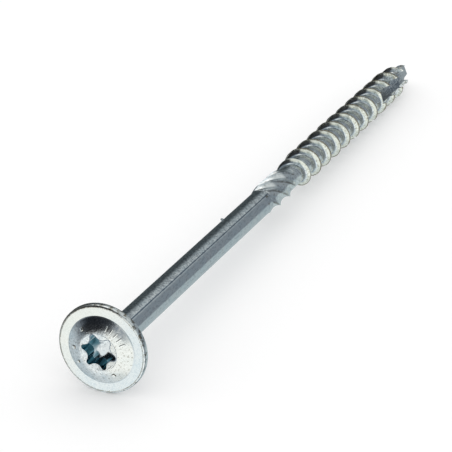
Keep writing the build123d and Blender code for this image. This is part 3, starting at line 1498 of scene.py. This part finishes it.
    def tint_rim(self, here: Local, colour: Wire) -> Wire:
        """A chipped brown line on the rim's edge, and a blotched rim with painted shade that darkens its
        top.

        Args:
            here: Where the surface point lies.
            colour: The colour below.

        Returns:
            The colour with these tints over it.
        """
        board, radius = here.board, self.head.radius
        head = self.on_head(here)
        line = radius - self.head.rim_round
        edge = here.radius.window(line - 0.02, line + 0.06, 0.05)
        chipped = (here.grain + here.cloud * 0.5).ramp(0.62, 0.85) * 0.7 + 0.15
        colour = board.mixed(head * edge * chipped, colour, Tint.WORN)
        outer = head * here.radius.ramp(radius - 0.25, radius - 0.15)
        colour = self.rim_blotches.over(colour, here.point, outer)
        # Painted shade darkens the rim towards its top.
        return board.mixed(outer * here.turn.ramp(*self.shaded_rim) * 0.75, colour, Tint.WORN)

    def tint_recess(self, here: Local, colour: Wire) -> Wire:
        """A dark line of painted shade in the coined rim, blue-green walls and a pale floor.

        Args:
            here: Where the surface point lies.
            colour: The colour below.

        Returns:
            The colour with these tints over it.
        """
        board, head = here.board, self.head
        reach = head.across_lobes / 2 + head.coined_width
        # A thin ring of painted shade in the coined step, on its near side only.
        depth = self.under_mouth(here).window(head.coined_depth - 0.01, head.coined_depth + 0.008, 0.006)
        coined = depth * here.radius.ramp(reach + 0.12, reach + 0.07) * here.along.ramp(-0.8, 0.2)
        colour = board.mixed(self.on_head(here) * coined * 0.85, colour, Tint.DEEP_BLUE)
        rise = head.cone_depth(head.floor_half_angle)
        floor = here.radius * (-rise / head.mouth) + (head.top + head.depth + rise / 2)
        walls = (floor - here.height).ramp(0.008, 0.016) * here.along.ramp(1.4, 0.6)
        lining = board.mixed(walls, Tint.ICE, Tint.TEAL)
        return board.mixed(self.on_head(here) * self.in_recess(here), colour, lining)

    def tint_shank(self, here: Local, colour: Wire) -> Wire:
        """Specks on the shank's rough side and streaks on its smooth side."""
        colour = self.shank_specks.over(colour, here.point, self.on_rough_side(here))
        return self.shank_streaks.over(colour, here.stretched(3.0, 1.2), self.on_smooth_side(here))

    def tint_reamer(self, here: Local, colour: Wire) -> Wire:
        """Brown lines of painted shadow along the ribs' crests, bright flanks, specks and two small dark
        marks before them.

        Args:
            here: Where the surface point lies.
            colour: The colour below.

        Returns:
            The colour with these tints over it.
        """
        board = here.board
        reamer = here.height.window(self.shaft.shank_end + 0.3, self.shaft.reamer_end - 0.4, 0.6)
        rib = self.rib_share(here)
        # Lines of painted shadow along the ribs' crests, stronger towards one side.
        line = rib.window(0.03, 0.10, 0.03).most(rib.window(0.97, 1.05, 0.02))
        colour = board.mixed(reamer * line * here.turn.ramp(-60.0, 20.0) * 0.6, colour, Tint.WORN)
        colour = board.mixed(reamer * rib.window(0.16, 0.36, 0.08) * 0.6, colour, Tint.BRIGHT)
        colour = self.reamer_specks.over(colour, here.point, reamer)
        long_dark_mark = here.height.window(56.6, 57.2, 0.2) * abs(here.turn + 3.0).ramp(7.0, 4.0)
        short_dark_mark = here.height.window(56.2, 56.5, 0.15) * abs(here.turn - 30.0).ramp(4.5, 2.5)
        return board.mixed(long_dark_mark.most(short_dark_mark) * 0.75, colour, Tint.WORN)

    def tint_seam(self, here: Local, colour: Wire) -> Wire:
        """The dark rolling seam."""
        return here.board.mixed(self.seam(here) * 0.85, colour, Tint.DEEP_BLUE)

    def tint_slot(self, here: Local, colour: Wire) -> Wire:
        """Streaked bare steel in the slot, browner towards its inner end and bright at the tip.

        Args:
            here: Where the surface point lies.
            colour: The colour below.

        Returns:
            The colour with these tints over it.
        """
        board = here.board
        streak = board.noise(here.stretched(4.0, 1.0), 1.0, 3.0, 0.7)
        milled = board.mixed(streak.ramp(0.42, 0.56), Tint.SLATE, Tint.PLAIN)
        milled = board.mixed(here.height.ramp(*self.slot_inner_brown) * 0.4, milled, Tint.WORN)
        milled = board.mixed(here.height.ramp(*self.slot_tip) * 0.85, milled, Tint.BRIGHT)
        return board.mixed(self.in_slot(here) * 0.9, colour, milled)

    def roughness(self, here: Local) -> Wire:
        """The plating's roughness: duller on the rough side and the thread, and smooth in the recess.

        Args:
            here: Where the surface point lies.

        Returns:
            The roughness.
        """
        cloud = here.board.noise(here.point, 0.9, 3.0)
        level = cloud * 0.12 + 0.12 + self.on_rough_side(here) * 0.06 + self.on_thread(here) * 0.1
        return (level + self.in_slot(here) * 0.2) * (self.in_recess(here) * -0.5 + 1.0)

    def relief(self, here: Local) -> Wire:
        """The fine relief: grain, lines drawn along the shank, the seam, and rolling and hammer marks.

        Args:
            here: Where the surface point lies.

        Returns:
            The normal, bent by the relief.
        """
        board = here.board
        drawn = board.noise(here.stretched(6.0, 0.3), 1.0, 2.0)
        dome = here.radius.window(2.95, 5.2, 0.1) * self.on_head(here)
        coarse = self.on_rough_side(here) * 1.6 + dome * 0.2 + 0.4
        grain = board.noise(here.point, 6.0, 3.0, 0.6) * coarse
        burrs = here.height.ramp(*self.burrs_from) * 2.6 + 2.4
        rolled = board.noise(here.point, 2.2, 4.0, 0.7) * self.on_thread(here) * burrs
        helical = board.noise(self.rolled_way(here), 1.0, 3.0, 0.6) * self.on_thread(here)
        reamer = here.height.window(self.shaft.shank_end, self.shaft.reamer_end, 0.4)
        struck = here.height.ramp(*self.hammered_until) * 4.0 + 1.6
        hammered = board.noise(here.point, 2.3, 3.0, 0.7) * reamer * struck
        height = drawn * 0.25 + grain + rolled - self.seam(here) * 1.2 + helical * 1.6 + hammered
        height = height * (self.in_recess(here) * -0.95 + 1.0)
        bump = board.add("ShaderNodeBump", {}, {"Strength": 0.5, "Distance": 0.00005, "Height": height})
        return Wire(board, bump.outputs["Normal"])


@dataclass(frozen=True)
class Camera:
    """The camera at the photograph's viewing angle, fitted to the screw's outline."""

    place: tuple = (-0.29909, -0.12208, 0.15576)
    forward: tuple = (0.82280, 0.36075, -0.43915)
    upward: tuple = (0.39923, 0.18306, 0.89839)
    lens: float = 166.95

    def build(self) -> bpy.types.Object:
        """Adds the camera and makes it the scene's.

        Returns:
            The camera.
        """
        nothing_selected()
        forward = Vector(self.forward).normalized()
        right = forward.cross(Vector(self.upward)).normalized()
        turn = Matrix((right, right.cross(forward), -forward)).transposed().to_euler()
        bpy.ops.object.camera_add(location=self.place, rotation=turn)
        camera = bpy.context.object
        camera.data.lens = self.lens
        camera.data.sensor_width = 36.0
        camera.data.clip_start = 0.01
        bpy.context.scene.camera = camera
        return camera


@dataclass(frozen=True)
class Card:
    """A soft-edged card of the studio that only reflections see."""

    azimuth: float
    elevation: float
    inner: float
    outer: float
    colour: tuple

    def direction(self) -> tuple:
        """Unit vector from the screw to the card: azimuth 0 is +X and 90 is +Y."""
        around, above = math.radians(self.azimuth), math.radians(self.elevation)
        return (math.cos(around) * math.cos(above), math.sin(around) * math.cos(above), math.sin(above))


@dataclass(frozen=True)
class Studio:
    """A plain pale floor, plain soft light and the cards that the plating mirrors."""

    floor_size: float = 4.0
    floor_colour: tuple = (0.9, 0.9, 0.9, 1.0)
    floor_lift: float = 0.13
    surround: tuple = (0.25, 0.28, 0.30, 1.0)
    cards: tuple = (
        Card(-2, 38, 16, 30, (0.32, 0.36, 0.37)),
        Card(-30, 64, 26, 44, (0.58, 0.62, 0.62)),
        Card(-34, 8, 14, 24, (0.245, 0.28, 0.305)),
        Card(36, 4, 16, 38, (0.065, 0.08, 0.085)),
        Card(-128, 26, 20, 38, (0.47, 0.52, 0.52)),
        Card(-10, -34, 29, 34, (0.46, 0.53, 0.54)),
        Card(92, -42, 24, 46, (0.60, 0.67, 0.69)),
        Card(44, 60, 12, 30, (1.15, 1.17, 1.15)),
        Card(-172, -36, 40, 54, (1.04, 1.07, 1.04)),
        Card(160, -78, 16, 30, (0.74, 0.79, 0.79)),
        Card(-168, 20, 8, 17, (0.86, 0.88, 0.85)),
        Card(152, 30, 24, 32, (0.04, 0.043, 0.047)),
        Card(141, 12, 17, 27, (0.016, 0.018, 0.021)),
    )

    def build(self) -> None:
        """Adds floor and world."""
        self.floor()
        self.world()
        bpy.context.scene.view_settings.view_transform = "Standard"

    def floor(self) -> None:
        """Adds the floor, white to the camera, with the screw's soft shadow on it."""
        nothing_selected()
        bpy.ops.mesh.primitive_plane_add(size=self.floor_size, location=(0, 0, 0))
        floor = bpy.context.object
        floor.name = "floor"
        floor.visible_glossy = False
        made = bpy.data.materials.new("floor")
        made.use_nodes = True
        board = Board(made.node_tree)
        shader = made.node_tree.nodes["Principled BSDF"]
        shader.inputs["Base Color"].default_value = self.floor_colour
        shader.inputs["Roughness"].default_value = 0.95
        shader.inputs["Specular IOR Level"].default_value = 0.0
        camera_ray = Wire(board, board.add("ShaderNodeLightPath", {}, {}).outputs["Is Camera Ray"])
        lift = board.mixed(camera_ray, (0.0, 0.0, 0.0, 1.0), (*[self.floor_lift] * 3, 1.0))
        board.feed(shader.inputs["Emission Color"], lift)
        shader.inputs["Emission Strength"].default_value = 1.0
        floor.data.materials.append(made)

    def world(self) -> None:
        """Adds the world: plain white light, and for reflections the surround with its cards."""
        world = bpy.data.worlds.new("studio")
        bpy.context.scene.world = world
        world.use_nodes = True
        board = Board(world.node_tree)
        background = world.node_tree.nodes["Background"]
        way = board.add("ShaderNodeTexCoord", {}, {}).outputs["Generated"]
        colour = self.surround
        for card in self.cards:
            toward = {0: way, 1: card.direction()}
            facing = board.add("ShaderNodeVectorMath", {"operation": "DOT_PRODUCT"}, toward)
            outer, inner = math.cos(math.radians(card.outer)), math.cos(math.radians(card.inner))
            share = Wire(board, facing.outputs["Value"]).ramp(outer, inner)
            colour = board.mixed(share, colour, (*card.colour, 1.0))
        glossy = board.add("ShaderNodeLightPath", {}, {}).outputs["Is Glossy Ray"]
        board.feed(background.inputs["Color"], board.mixed(glossy, (1.0, 1.0, 1.0, 1.0), colour))
        background.inputs["Strength"].default_value = 1.0


def main() -> None:
    """Builds the screw, its finish, the studio and the camera in order."""
    logging.basicConfig(level=logging.INFO, format="%(name)s: %(message)s")
    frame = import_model()
    place = Place.from_record(frame["record"])
    head, shaft, slot, marks = Head(), Shaft(), Slot(), Marks()
    screw = ScrewMesh(head, shaft, slot, marks).build(place)
    screw.name = "plated_screw"
    screw.data.materials.clear()
    screw.data.materials.append(Zinc(head, shaft, slot, marks, place).material())
    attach(screw, BODY)
    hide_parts(NODE)
    log.info("screw: %d faces", len(screw.data.polygons))
    Studio().build()
    Camera().build()


if __name__ == "__main__":
    main()
